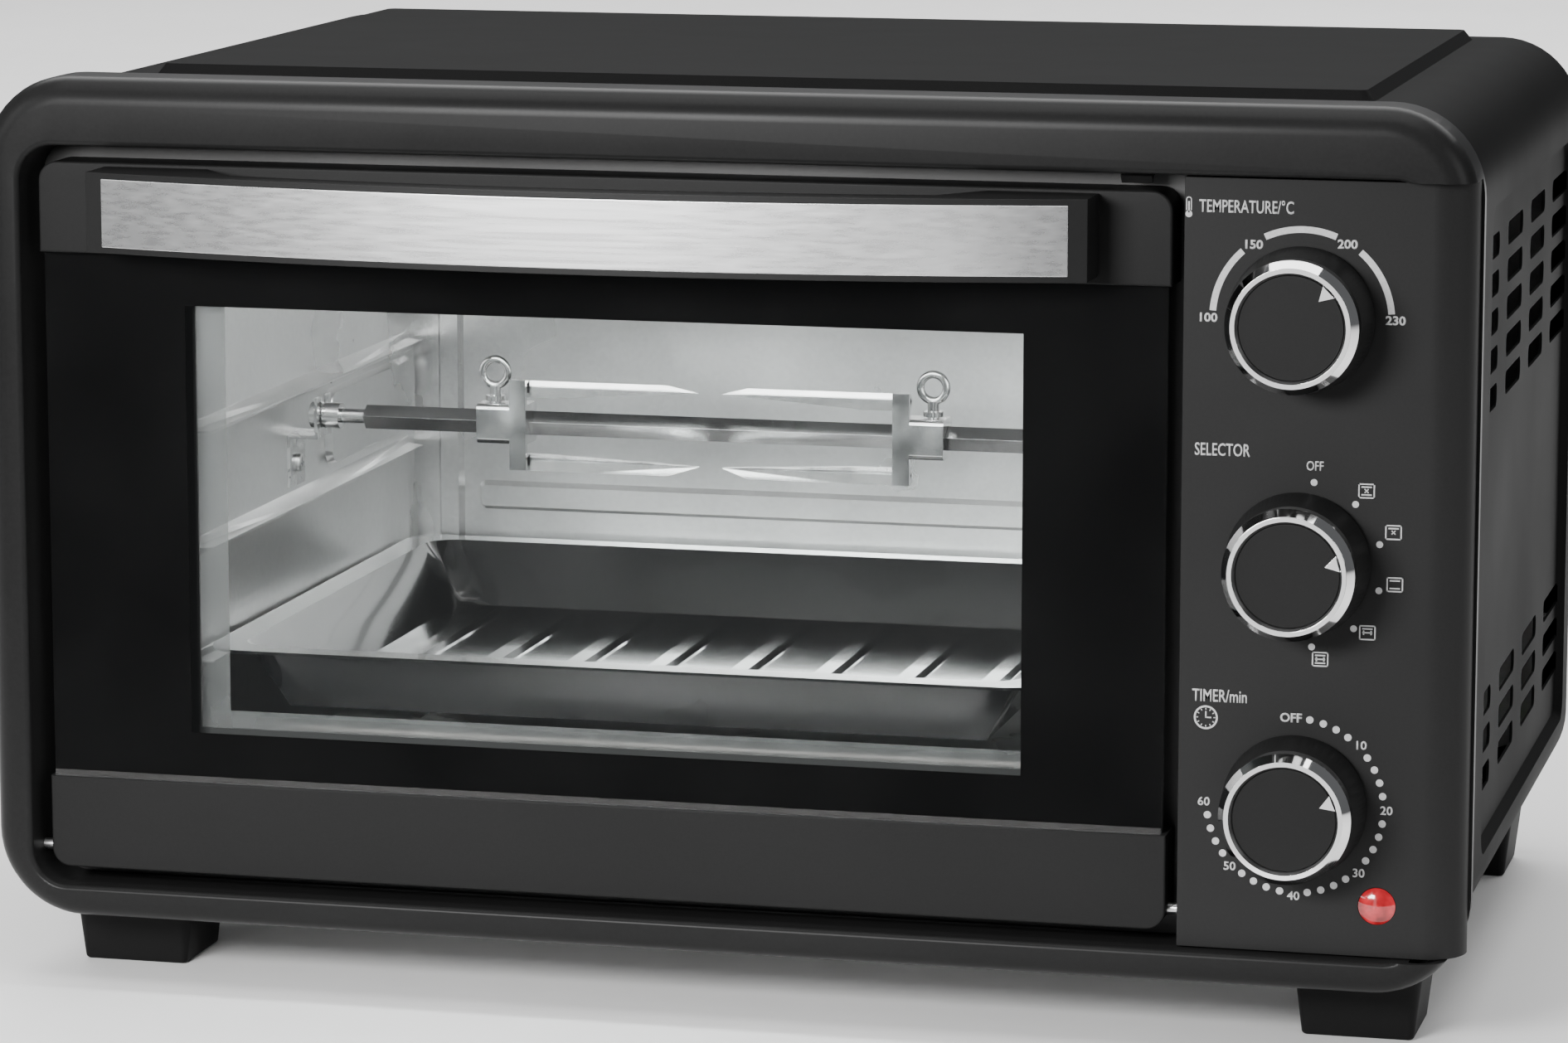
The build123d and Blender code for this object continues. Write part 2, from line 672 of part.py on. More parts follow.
bracket = plate + tab + ear
bracket = bracket - rod_x(cavity_left - 1, cavity_left + ear_sheet + 1, spit_depth, bracket_screw_z,
                          bracket_screw_radius)
parts["spit_bracket"] = bracket

screw_face = cavity_left + ear_sheet
bracket_screw = rod_x(screw_face, screw_face + 1.8, spit_depth, bracket_screw_z, 3.2)
bracket_screw = fillet(bracket_screw.edges().sort_by(Axis.X)[-1], 0.8)
bracket_screw = bracket_screw - block(screw_face + 1.0, screw_face + 3, spit_depth - 2, spit_depth + 2,
                                      bracket_screw_z - 0.4, bracket_screw_z + 0.4)
bracket_screw = bracket_screw - block(screw_face + 1.0, screw_face + 3, spit_depth - 0.4,
                                      spit_depth + 0.4, bracket_screw_z - 2, bracket_screw_z + 2)
parts["spit_bracket_screw"] = bracket_screw + rod_x(cavity_left - 5, screw_face + 0.1, spit_depth,
                                                    bracket_screw_z, bracket_screw_radius)

spit_axis = Pos(0, at(spit_depth), spit_z)
motor_left = cavity_right + sheet
motor_radius = 24.0
motor_bore_radius = shaft_radius + shaft_fit
motor = rod_x(motor_left, motor_left + 1.5, spit_depth, spit_z, motor_radius + 4)
motor = motor + rod_x(motor_left + 1.4, motor_left + 20, spit_depth, spit_z, motor_radius)
motor = motor - rod_x(motor_left - 1, motor_left + 5, spit_depth, spit_z, socket_radius + socket_wall_clear)
motor = motor - rod_x(motor_left, motor_left + 16, spit_depth, spit_z, motor_bore_radius)
parts["spit_motor"] = motor

socket_back = motor_left + 3.0
bar_fit = 0.15
spit_right_end = socket_back - 5.0
socket = rod_x(socket_mouth, socket_back, spit_depth, spit_z, socket_radius)
socket = socket + rod_x(socket_back - 1, motor_left + 15, spit_depth, spit_z, shaft_radius)
bar_hole = spit_side + 2 * bar_fit
socket_bar = spit_axis * Rot(spit_twist, 0, 0) * Box(2 * (socket_back - 4 - socket_mouth), bar_hole, bar_hole)
socket = socket - Pos(socket_mouth, 0, 0) * socket_bar
parts["drive_socket"] = socket

bar_length = spit_right_end - spit_bar_left
bar = spit_axis * Rot(spit_twist, 0, 0) * Box(bar_length, spit_side, spit_side)
bar = Pos(spit_bar_left + bar_length / 2, 0, 0) * bar
bar = chamfer(bar.faces().sort_by(Axis.X)[-1].edges(), 1.0)
spit = bar + rod_x(spit_left_end, spit_bar_left + 1, spit_depth, spit_z, neck_radius)
collar_gap = 0.4
spit = spit + rod_x(spit_left_end, ear_left - collar_gap, spit_depth, spit_z, collar_radius)
spit = spit + rod_x(ear_right + collar_gap, ear_right + 6.5, spit_depth, spit_z, collar_radius)
parts["spit_rod"] = spit


hub_side = 14.0
hub_corner = 2.0
fork_web_start = 3.0       # the tines leave the saddle's inner end
fork_screw_offset = 4.0    # the screw stands at its outer end
fork_fit = 0.3
web_sheet = 2.0
tine_half = 3.0            # half the height of a tine's V section
tine_crown = 4.0
tine_sheet = 2.0
tine_point = 14.0


def fork(centre_x, point_side):
    """Meat fork: a square saddle on the spit with two V-section tines towards the middle."""
    hub = block(centre_x - fork_hub_half, centre_x + fork_hub_half, spit_depth - hub_side / 2,
                spit_depth + hub_side / 2, spit_z - hub_side / 2, spit_z + hub_side / 2)
    hub = fillet(hub.edges().filter_by(Axis.X), hub_corner)
    start = centre_x + point_side * fork_web_start
    hub_end = centre_x + point_side * fork_hub_half
    web_front = spit_depth - hub_side / 2
    web = block(start, hub_end, web_front, web_front + web_sheet, spit_z - fork_spread - tine_half,
                spit_z + fork_spread + tine_half)
    body = hub + web
    tip = hub_end + point_side * tine_length
    for side in (1, -1):
        z = spit_z + side * fork_spread
        section = [(web_front, z - tine_half), (web_front + tine_crown, z), (web_front, z + tine_half),
                   (web_front + tine_sheet, z + tine_half), (web_front + tine_crown + tine_sheet, z),
                   (web_front + tine_sheet, z - tine_half)]
        tine = prism_x(section, min(start, tip), max(start, tip))
        # the outer edge runs straight, the inner edge slopes to a point
        edge = side * (tine_half + overcut)
        outline = [(start, z + edge), (tip - point_side * tine_point, z + edge), (tip, z), (start, z - edge)]
        body = body + (tine & prism_y(outline, web_front - overcut, web_front + hub_side))
    hole = spit_side + 2 * fork_fit
    passage = spit_axis * Rot(spit_twist, 0, 0) * Box(2 * tine_length, hole, hole)
    body = body - Pos(centre_x, 0, 0) * passage
    screw_x = centre_x - point_side * fork_screw_offset
    return body - rod_z(screw_x, spit_depth, spit_z, spit_z + hub_side, screw_radius + screw_fit)


parts["fork_left"] = fork(fork_left_x, 1)
parts["fork_right"] = fork(fork_right_x, -1)

screw_neck = 5.4
screw_collar = 1.8
screw_collar_radius = 3.6
screw_ring_radius = 4.6
screw_ring_wire = 1.4
bar_reach = spit_side * (math.cos(math.radians(spit_twist)) + math.sin(math.radians(spit_twist))) / 2
for name, x in (("thumb_screw_left", fork_left_x - fork_screw_offset),
                ("thumb_screw_right", fork_right_x + fork_screw_offset)):
    collar_base = spit_z + hub_side / 2 + 2 * gap
    screw = rod_z(x, spit_depth, spit_z + bar_reach + gap, collar_base + screw_neck, screw_radius)
    screw = screw + rod_z(x, spit_depth, collar_base, collar_base + screw_collar, screw_collar_radius)
    ring_centre = collar_base + screw_neck + screw_ring_radius
    ring = Pos(x, at(spit_depth), ring_centre) * Rot(90, 0, 0) * Torus(screw_ring_radius, screw_ring_wire)
    parts[name] = screw + ring

# ---------------------------------------------------------------- controls
control_names = ("temperature", "selector", "timer")
unit_names = ("thermostat", "selector_switch", "timer_unit")
unit_sizes = ((34, 26, 30), (40, 34, 40), (48, 40, 48))      # width, depth, height
shaft_bore = shaft_radius + shaft_fit
shaft_back = frame_back + 14.0
knob_front = -knob_clear - knob_length
disc_face = knob_front + disc_sink
ring_back = knob_front + ring_depth
for name, unit, height, angle, size in zip(control_names, unit_names, knob_heights, pointer_angles,
                                           unit_sizes):
    place = Pos(knob_x, at(0), height) * Rot(90, 0, 0)      # local Z points to the front
    rim = knob_disc_radius
    profile = Polyline((0, knob_clear + 2), (knob_base_radius - 1.5, knob_clear + 2),
                       (knob_base_radius - 1.5, knob_clear), (knob_base_radius, knob_clear),
                       (knob_base_radius, knob_clear + 1.5), (knob_ring_radius - 0.2, -ring_back),
                       (rim, -ring_back), (rim, -disc_face), (0, -disc_face), close=True)
    knob = revolve(Plane.XZ * make_face(profile), Axis.Z)
    knob = knob - Pos(0, 0, (knob_clear - disc_face - 3) / 2) * Cylinder(
        shaft_radius, -disc_face - 3 - knob_clear)
    tongue_half_angle = math.atan2(pointer_half, rim)
    tongue = Polyline((-pointer_half, rim * math.cos(tongue_half_angle) + 0.4),
                      (pointer_half, rim * math.cos(tongue_half_angle) + 0.4),
                      (0, rim - pointer_length), close=True)
    turn = Rot(0, 0, -angle)
    tongue_solid = Pos(0, 0, -disc_face - 0.6) * extrude(make_face(tongue), amount=1.6)
    ring_profile = Polyline((rim, -ring_back), (knob_ring_radius, -ring_back),
                            (knob_ring_radius, -knob_front - 3.2), (knob_ring_radius - 2.2, -knob_front),
                            (rim + 1.0, -knob_front), (rim, -disc_face - 0.2), close=True)
    ring = revolve(Plane.XZ * make_face(ring_profile), Axis.Z)
    ring = ring + turn * tongue_solid
    knob = knob - turn * tongue_solid
    parts["knob_" + name] = place * knob
    parts["knob_ring_" + name] = place * ring
    parts["shaft_" + name] = rod_y(knob_x, disc_face + 3.2, shaft_back, height, shaft_radius)
    width, depth, tall = size
    body = block(knob_x - width / 2, knob_x + width / 2, frame_back + 4, frame_back + 4 + depth,
                 height - tall / 2, height + tall / 2)
    body = fillet(body.edges().filter_by(Axis.Y), 3.0)
    body = body + rod_y(knob_x, frame_back, frame_back + 4.1, height, 9.0)
    body = body - rod_y(knob_x, frame_back - 1, shaft_back + 0.5, height, shaft_bore)
    parts[unit] = body

lens_dome = 1.8
lens_ball = (lamp_radius ** 2 + lens_dome ** 2) / (2 * lens_dome)
lens = Pos(0, 0, lens_dome / 2 - 1.5) * Cylinder(lamp_radius, lens_dome + 3)
lens = lens & (Pos(0, 0, lens_dome - lens_ball) * Sphere(lens_ball))
parts["pilot_lens"] = Pos(lamp_x, at(0), lamp_z) * Rot(90, 0, 0) * lens
holder = rod_y(lamp_x, 3.0, frame_back + 16, lamp_z, lamp_radius - 1.5)
holder = holder + rod_y(lamp_x, panel_wall, 6.0, lamp_z, lamp_radius + 2)
parts["pilot_holder"] = holder - rod_y(lamp_x, 0, 3.0, lamp_z, lamp_radius + 0.1)

# ---------------------------------------------------------------- convection fan
housing_left = cavity_right + sheet
housing = rod_x(housing_left, housing_left + housing_depth, fan_depth, fan_z, fan_radius + 6)
housing = housing - rod_x(housing_left - 1, housing_left + housing_depth - sheet, fan_depth, fan_z,
                          fan_radius + 5)
housing_rim = rod_x(housing_left, housing_left + sheet, fan_depth, fan_z, fan_radius + 9)
housing_rim = housing_rim - rod_x(housing_left - 1, housing_left + 2, fan_depth, fan_z, fan_radius + 5)
housing = housing + housing_rim
axle_radius = 2.0
housing_right = housing_left + housing_depth
housing = housing - rod_x(housing_right - 3, housing_right + 1, fan_depth, fan_z, axle_radius + 1)
parts["fan_housing"] = housing
fan_motor = block(housing_right, housing_right + 26, fan_depth - 28, fan_depth + 28, fan_z - 22, fan_z + 22)
fan_motor = fillet(fan_motor.edges().filter_by(Axis.X), 6.0)
parts["fan_motor"] = fan_motor - rod_x(housing_right - 1, housing_right + 20, fan_depth, fan_z,
                                       axle_radius + 0.05)
fan_left = housing_left + 4.0
wheel = rod_x(fan_left + fan_width - 1, fan_left + fan_width, fan_depth, fan_z, fan_radius - 2)
wheel = wheel + rod_x(fan_left + 2, fan_left + fan_width, fan_depth, fan_z, 8.0)
wheel = wheel + rod_x(fan_left + fan_width - 1, housing_right + 19, fan_depth, fan_z, axle_radius)
blade = Box(fan_width - 0.5, 24, 1.0)
for index in range(fan_blades):
    spoke = Rot(index * 360 / fan_blades, 0, 0) * Pos(0, fan_radius - 16, 0) * Rot(28, 0, 0) * blade
    wheel = wheel + Pos(fan_left + fan_width / 2, at(fan_depth), fan_z) * spoke
parts["fan_impeller"] = wheel

# ---------------------------------------------------------------- door
cap_bottom = door_top - cap_height
rail_top = door_bottom + rail_height


def rounded_edge_block(z0, z1, corners, d0, d1):
    """Door moulding between two heights, with two rounded corners at one end."""
    body = block(door_left, door_right, d0, d1, z0, z1)
    end = body.faces().sort_by(Axis.Z)[-1 if corners == "top" else 0]
    return fillet(end.edges().filter_by(Axis.Y), door_corner)


cap = rounded_edge_block(cap_bottom, door_top, "top", 0, door_depth)
cap = fillet(cap.faces().sort_by(Axis.Y)[0].edges(), 0.8)
moulding_wall = 3.0
cap = cap - block(door_left + moulding_wall, door_right - moulding_wall, moulding_wall, door_depth + 1,
                  cap_bottom - 1, door_top - moulding_wall)
rail = rounded_edge_block(door_bottom, rail_top, "bottom", 0, door_depth)
rail = fillet(rail.faces().sort_by(Axis.Y)[0].edges(), 0.8)
rail = rail - prism_x([(door_depth - 6, door_bottom - 1), (door_depth + 1, door_bottom - 1),
                       (door_depth + 1, door_bottom + 6)], door_left - 1, door_right + 1)
pin_boss = 14.0
rail = rail - block(door_left + pin_boss, door_right - pin_boss, moulding_wall, door_depth + 1,
                    door_bottom + moulding_wall, rail_top + 1)
rail = rail - block(door_left + moulding_wall, door_right - moulding_wall, moulding_wall,
                    door_depth + 1, hinge_z + 8, rail_top + 1)
rail = rail - rod_x(door_left - 1, door_left + pin_boss + 1, hinge_depth, hinge_z, pin_hole_radius)
rail = rail - rod_x(door_right - pin_boss - 1, door_right + 1, hinge_depth, hinge_z, pin_hole_radius)
bar_screw_x = bar_half - 16.0
door_screw_radius = 1.8
for side in (1, -1):
    cap = cap - rod_y(door_centre + side * bar_screw_x, -1, moulding_wall + 1, strip_z, door_screw_radius)
parts["door_top_cap"] = cap
parts["door_bottom_rail"] = rail

glass = block(door_left + glass_inset, door_right - glass_inset, glass_set_back,
              glass_set_back + glass_thick, rail_top, cap_bottom)
parts["door_outer_glass"] = glass

frame_margin = 6.0
frame_front = glass_set_back + glass_thick
frame_inner_back = door_depth - 0.5
frame_low = rail_top - 12.0
frame_high = cap_bottom + 12.0
window_frame = block(door_left + frame_margin, door_right - frame_margin, frame_front, frame_inner_back,
                     frame_low, frame_high)
window_frame = window_frame - block(door_left + frame_margin + sheet, door_right - frame_margin - sheet,
                                    frame_front - 1, frame_inner_back - sheet, frame_low + sheet,
                                    frame_high - sheet)
window_frame = window_frame - block(window_left, window_right, frame_front, frame_inner_back + 1,
                                    window_bottom, window_top)
inner_margin = 10.0
inner_pane = block(window_left - inner_margin, window_right + inner_margin,
                   frame_inner_back - sheet - inner_glass_thick, frame_inner_back - sheet,
                   window_bottom - inner_margin,
                   window_top + inner_margin)
parts["door_inner_glass"] = inner_pane
parts["door_inner_frame"] = window_frame

handle_z0 = strip_z - bar_height / 2
handle_z1 = strip_z + bar_height / 2
strip_ring = sector(door_centre, handle_reach, bow, strip_half, 0, strip_thick,
                    strip_z - strip_height / 2, strip_z + strip_height / 2)
strip_box = block(door_centre - strip_half, door_centre + strip_half, -handle_reach - 1, 0,
                  handle_z0, handle_z1)
strip = strip_ring & strip_box
parts["handle_strip"] = strip
bar_ring = sector(door_centre, handle_reach, bow, strip_half, strip_proud, bar_thick, handle_z0, handle_z1)
bar_box = block(door_centre - bar_half, door_centre + bar_half, -handle_reach - 1, 0, handle_z0, handle_z1)
handle = bar_ring & bar_box
end_reach = handle_reach - bow
for side in (1, -1):
    mount = prism_z([(door_centre + side * bar_half, 0), (door_centre + side * bar_half, -end_reach + 5),
                     (door_centre + side * (bar_half - mount_length - mount_slope), -end_reach - 3),
                     (door_centre + side * (bar_half - mount_length), 0)], handle_z0, handle_z1)
    handle = handle + mount
handle = handle - strip
for side in (1, -1):
    handle = handle - rod_y(door_centre + side * bar_screw_x, -10, 1, strip_z, door_screw_radius)
parts["handle_body"] = handle

door_screws = []
for side in (1, -1):
    x = door_centre + side * bar_screw_x
    head = rod_y(x, moulding_wall, moulding_wall + 2.2, strip_z, 3.4)
    door_screws.append(head + rod_y(x, -9, moulding_wall + 0.1, strip_z, door_screw_radius))
parts["door_screws"] = Compound(children=door_screws)

pin_left = rod_x(hinge_pin_span_left[0], hinge_pin_span_left[1], hinge_depth, hinge_z, hinge_radius)
pin_right = rod_x(hinge_pin_span_right[0], hinge_pin_span_right[1], hinge_depth, hinge_z, hinge_radius)
parts["hinge_pins"] = Compound(children=[pin_left, pin_right])

catch_x = 140.0
leaf = prism_x([(bezel_back, opening_top - 1.2), (door_depth - 8, opening_top - 1.2),
                (door_depth - 10, opening_top - 3.2), (door_depth - 12, opening_top - 1.2),
                (door_depth - 12.6, opening_top - 1.6), (door_depth - 10, opening_top - 4.2),
                (door_depth - 7.4, opening_top - 1.8), (bezel_back, opening_top - 1.8)],
               catch_x - 5, catch_x + 5)
parts["door_catch"] = leaf

# ---------------------------------------------------------------- baking tray
tray_left = cavity_left + tray_side_gap
tray_right = cavity_right - tray_side_gap
rim_z = shelf_levels[0] + gap
tray_centre = ((tray_left + tray_right) / 2, at((tray_front + tray_back) / 2))
tray_width = tray_right - tray_left
tray_length = tray_back - tray_front
lip_plane = Plane(origin=(*tray_centre, rim_z))
lip = extrude(lip_plane * RectangleRounded(tray_width, tray_length, 14), amount=tray_wall)
down_plane = Plane(origin=(*tray_centre, rim_z + tray_wall), x_dir=(1, 0, 0), z_dir=(0, 0, -1))
bowl_width = tray_width - 2 * tray_lip
bowl_length = tray_length - 2 * tray_lip
bowl_outer = extrude(down_plane * RectangleRounded(bowl_width, bowl_length, 12),
                     amount=tray_drop + tray_wall, taper=tray_taper)
bowl_inner = Pos(0, 0, tray_wall) * extrude(
    down_plane * RectangleRounded(bowl_width, bowl_length, 12),
    amount=tray_drop + tray_wall, taper=tray_taper)
tray = lip + bowl_outer - bowl_inner
floor_top = rim_z - tray_drop + tray_wall
floor_width = bowl_width - 2 * (tray_drop + tray_wall) * math.tan(math.radians(tray_taper))
floor_length = bowl_length - 2 * (tray_drop + tray_wall) * math.tan(math.radians(tray_taper))
rib_count = int(floor_width / tray_rib_pitch)
rib_plane = Plane(origin=(0, tray_centre[1], floor_top - 0.01))
for index in range(rib_count):
    x = tray_centre[0] + (index - (rib_count - 1) / 2) * tray_rib_pitch
    rib = Pos(x, 0, 0) * extrude(rib_plane * RectangleRounded(9, floor_length - 24, 3),
                                 amount=2.0, taper=35)
    tray = tray + rib
    tray = tray - Pos(0, 0, -tray_wall - 0.02) * rib
parts["baking_tray"] = tray

# ---------------------------------------------------------------- files
os.makedirs("parts", exist_ok=True)
for name, solid in parts.items():
    export_step(solid, os.path.join("parts", name + ".step"))
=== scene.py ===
# %% [markdown]
# # A table-top rotisserie oven
# This lesson dresses a finished engineering model of a small oven: black moulded front, sheet-steel
# cover, bright cavity, glass door with a brushed handle, three dials and a motor-driven spit.
# The shapes that carry load or move come from the engineering model, so the work here is finish:
# softened edges, paint, plating, glass, enamel and the print on the control panel.

# %% Load the engineering model
import bmesh
import bpy
import json
import math
from mathutils import Matrix, Vector


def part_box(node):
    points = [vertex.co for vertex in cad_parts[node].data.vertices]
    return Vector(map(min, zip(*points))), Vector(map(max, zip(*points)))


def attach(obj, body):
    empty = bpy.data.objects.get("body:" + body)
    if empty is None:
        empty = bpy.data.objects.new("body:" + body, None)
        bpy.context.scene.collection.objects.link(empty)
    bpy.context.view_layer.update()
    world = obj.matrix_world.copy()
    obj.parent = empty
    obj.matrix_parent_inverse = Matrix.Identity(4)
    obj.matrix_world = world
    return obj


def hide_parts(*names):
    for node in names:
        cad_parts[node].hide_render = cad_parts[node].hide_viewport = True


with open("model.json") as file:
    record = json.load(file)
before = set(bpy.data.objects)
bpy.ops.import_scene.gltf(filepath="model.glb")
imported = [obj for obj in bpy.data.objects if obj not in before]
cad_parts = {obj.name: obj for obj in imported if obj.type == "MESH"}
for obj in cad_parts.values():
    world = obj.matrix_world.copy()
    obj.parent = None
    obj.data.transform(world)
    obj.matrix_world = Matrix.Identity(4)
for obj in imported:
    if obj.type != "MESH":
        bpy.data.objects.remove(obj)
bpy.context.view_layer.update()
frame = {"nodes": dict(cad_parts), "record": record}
nodes = frame["nodes"]
body_of_node = {n: b for b, members in frame["record"]["behaviour"]["bodies"].items() for n in members}
slot_of_node = {s["node"]: s["material_slot"] for s in frame["record"]["subparts"]}
mm = 0.001

# %% [markdown]
# ## Reading places off the model
# Every new piece is placed from the boxes of the pieces it belongs to, so nothing floats when a size
# changes. The control panel's front face, the knobs' axes and the window of the door are the places
# that the print and the glass border need.

# %% Places
face_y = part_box("control_panel")[0].y
glass_low, glass_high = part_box("door_outer_glass")
pane_low, pane_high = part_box("door_inner_glass")
dials = {}
for dial in ("temperature", "selector", "timer"):
    low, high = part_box("shaft_" + dial)
    dials[dial] = ((low.x + high.x) / 2, (low.z + high.z) / 2)
    print(dial, "dial at mm", [round(v * 1000, 1) for v in dials[dial]])

# %% [markdown]
# ## A material helper
# Real finishes are never one flat colour. Each one here starts from a noise in object space, which
# stays fixed to the piece, and turns it into two close tones, a narrow range of roughness and a fine
# relief. Small helpers keep each recipe to a few lines.

# %% Material helpers
def new_material(name):
    material = bpy.data.materials.new(name)
    material.use_nodes = True
    tree = material.node_tree
    return material, tree, tree.nodes["Principled BSDF"]


def node_of(tree, kind, **values):
    made = tree.nodes.new(kind)
    for key, value in values.items():
        if key in made.inputs:
            made.inputs[key].default_value = value
        else:
            setattr(made, key, value)
    return made


def object_place(tree, stretch=(1, 1, 1)):
    coordinate = node_of(tree, "ShaderNodeTexCoord")
    mapping = node_of(tree, "ShaderNodeMapping", Scale=stretch)
    tree.links.new(coordinate.outputs["Object"], mapping.inputs["Vector"])
    return mapping.outputs["Vector"]


def grain(tree, scale, detail=3.0, stretch=(1, 1, 1)):
    noise = node_of(tree, "ShaderNodeTexNoise", Scale=scale, Detail=detail)
    tree.links.new(object_place(tree, stretch), noise.inputs["Vector"])
    return noise.outputs["Fac"]


def spangle(tree, scale):
    cells = node_of(tree, "ShaderNodeTexVoronoi", Scale=scale)
    tree.links.new(object_place(tree), cells.inputs["Vector"])
    separate = node_of(tree, "ShaderNodeSeparateColor")
    tree.links.new(cells.outputs["Color"], separate.inputs["Color"])
    return separate.outputs["Red"]


def blend_values(tree, first, second, share):
    mix = node_of(tree, "ShaderNodeMix", data_type="FLOAT")
    mix.inputs[0].default_value = share
    tree.links.new(first, mix.inputs[2])
    tree.links.new(second, mix.inputs[3])
    return mix.outputs[0]


def drive_tone(tree, shader, source, dark, light, low=0.3, high=0.7):
    ramp = node_of(tree, "ShaderNodeValToRGB")
    ramp.color_ramp.elements[0].position = low
    ramp.color_ramp.elements[1].position = high
    ramp.color_ramp.elements[0].color = (*dark, 1)
    ramp.color_ramp.elements[1].color = (*light, 1)
    tree.links.new(source, ramp.inputs["Fac"])
    tree.links.new(ramp.outputs["Color"], shader.inputs["Base Color"])


def drive_roughness(tree, shader, source, low, high):
    spread = node_of(tree, "ShaderNodeMapRange")
    spread.inputs["From Min"].default_value = 0.3
    spread.inputs["From Max"].default_value = 0.7
    spread.inputs["To Min"].default_value = low
    spread.inputs["To Max"].default_value = high
    tree.links.new(source, spread.inputs["Value"])
    tree.links.new(spread.outputs["Result"], shader.inputs["Roughness"])


def drive_relief(tree, shader, source, strength, depth):
    bump = node_of(tree, "ShaderNodeBump", Strength=strength, Distance=depth)
    tree.links.new(source, bump.inputs["Height"])
    tree.links.new(bump.outputs["Normal"], shader.inputs["Normal"])


finishes = {}

# %% [markdown]
# ## Black plastics and paints
# The bezel and the panel are moulded in satin black plastic, the door's cap and rail in a finely
# textured one, and the cover is powder-coated sheet. They differ mostly in how fine and how deep the
# surface grain is, so one recipe with different numbers serves them all.

# %% Satin blacks
def satin(name, dark, light, rough, grain_size, relief, depth, shine=0.5, cloud=9.0):
    material, tree, shader = new_material(name)
    fine = grain(tree, grain_size, 2.0)
    broad = grain(tree, cloud, 3.0)
    drive_tone(tree, shader, blend_values(tree, fine, broad, 0.5), dark, light)
    drive_roughness(tree, shader, broad, *rough)
    drive_relief(tree, shader, fine, relief, depth)
    shader.inputs["Specular IOR Level"].default_value = shine
    finishes[name] = material
    return material


def grey(value, warmth=0.0):
    return (value * (1 + warmth), value, value * (1 - warmth))


satin("bezel_plastic", grey(0.010), grey(0.014), (0.30, 0.38), 900.0, 0.10, 0.00002, 0.09)
satin("panel_plastic", grey(0.015), grey(0.019), (0.42, 0.50), 1100.0, 0.12, 0.00002, 0.10)
satin("cover_paint", grey(0.006), grey(0.009), (0.44, 0.52), 1500.0, 0.16, 0.00003, 0.015)
satin("door_plastic", grey(0.010), grey(0.013), (0.44, 0.54), 1300.0, 0.30, 0.00004, 0.10)
satin("handle_plastic", grey(0.007), grey(0.010), (0.38, 0.46), 1000.0, 0.15, 0.00002, 0.2)
satin("knob_plastic", grey(0.009), grey(0.012), (0.44, 0.52), 1200.0, 0.18, 0.00002, 0.12)
satin("foot_plastic", grey(0.004), grey(0.006), (0.48, 0.58), 800.0, 0.20, 0.00004, 0.12)
satin("frame_paint", grey(0.015, 0.03), grey(0.021, 0.03), (0.40, 0.55), 700.0, 0.15, 0.00003)
satin("switch_plastic", grey(0.045, 0.10), grey(0.060, 0.10), (0.45, 0.55), 600.0, 0.15, 0.00003)
print("satin blacks", sorted(finishes))

# %% [markdown]
# ## Bare and plated metals
# The cavity is aluminised sheet: bright, with faint crystals and a broad cloudy variation. The rods
# are dull and tinted by heat. Chromed pieces are nearly mirrors, with a thin film of smudges.

# %% Metals
def metal(name, dark, light, rough, size, stretch=(1, 1, 1), relief=0.05, depth=0.00002, crystals=None):
    material, tree, shader = new_material(name)
    cloud = grain(tree, size, 4.0, stretch)
    tone = blend_values(tree, cloud, spangle(tree, crystals), 0.15) if crystals else cloud
    drive_tone(tree, shader, tone, dark, light)
    drive_roughness(tree, shader, cloud, *rough)
    drive_relief(tree, shader, cloud, relief, depth)
    shader.inputs["Metallic"].default_value = 1.0
    finishes[name] = material
    return material


metal("cavity_sheet", grey(0.66), grey(0.80), (0.24, 0.34), 10.0, crystals=700.0)
metal("plated_sheet", grey(0.50), grey(0.66), (0.30, 0.46), 18.0, crystals=500.0)
metal("screw_steel", grey(0.52), grey(0.66), (0.24, 0.36), 300.0)
metal("shaft_steel", grey(0.50), grey(0.62), (0.24, 0.36), 250.0, (0.2, 1, 1))
metal("bracket_steel", grey(0.55), grey(0.72), (0.20, 0.32), 200.0)
metal("heater_steel", (0.20, 0.18, 0.17), (0.34, 0.31, 0.29), (0.42, 0.58), 60.0, (0.3, 1, 1), 0.15)
metal("spit_chrome", grey(0.62), grey(0.74), (0.14, 0.24), 80.0, (0.3, 1, 1))
metal("fork_chrome", grey(0.62), grey(0.76), (0.12, 0.22), 90.0)
metal("ring_chrome", grey(0.86), grey(0.92), (0.04, 0.08), 60.0, (1, 1, 1), 0.02, 0.00001)
metal("strip_steel", grey(0.80), grey(0.90), (0.26, 0.30), 700.0, (0.01, 1, 1), 0.04, 0.00001)
print("metals", len(finishes))

# %% Ceramic, enamel and lens
satin("insulator_ceramic", (0.70, 0.66, 0.58), (0.80, 0.77, 0.70), (0.55, 0.7), 500.0, 0.2, 0.00005)

enamel, tree, shader = new_material("tray_enamel")
drive_tone(tree, shader, grain(tree, 30.0), grey(0.004), grey(0.007))
drive_roughness(tree, shader, grain(tree, 12.0), 0.10, 0.18)
drive_relief(tree, shader, grain(tree, 90.0), 0.06, 0.00006)
shader.inputs["Coat Weight"].default_value = 0.6
shader.inputs["Coat Roughness"].default_value = 0.06
finishes["tray_enamel"] = enamel

lens, tree, shader = new_material("lens_plastic")
drive_tone(tree, shader, grain(tree, 260.0, 2.0), (0.16, 0.002, 0.003), (0.52, 0.02, 0.03))
drive_roughness(tree, shader, grain(tree, 200.0), 0.08, 0.16)
shader.inputs["Coat Weight"].default_value = 1.0
shader.inputs["Emission Color"].default_value = (0.8, 0.02, 0.02, 1)
shader.inputs["Emission Strength"].default_value = 0.06
finishes["lens_plastic"] = lens

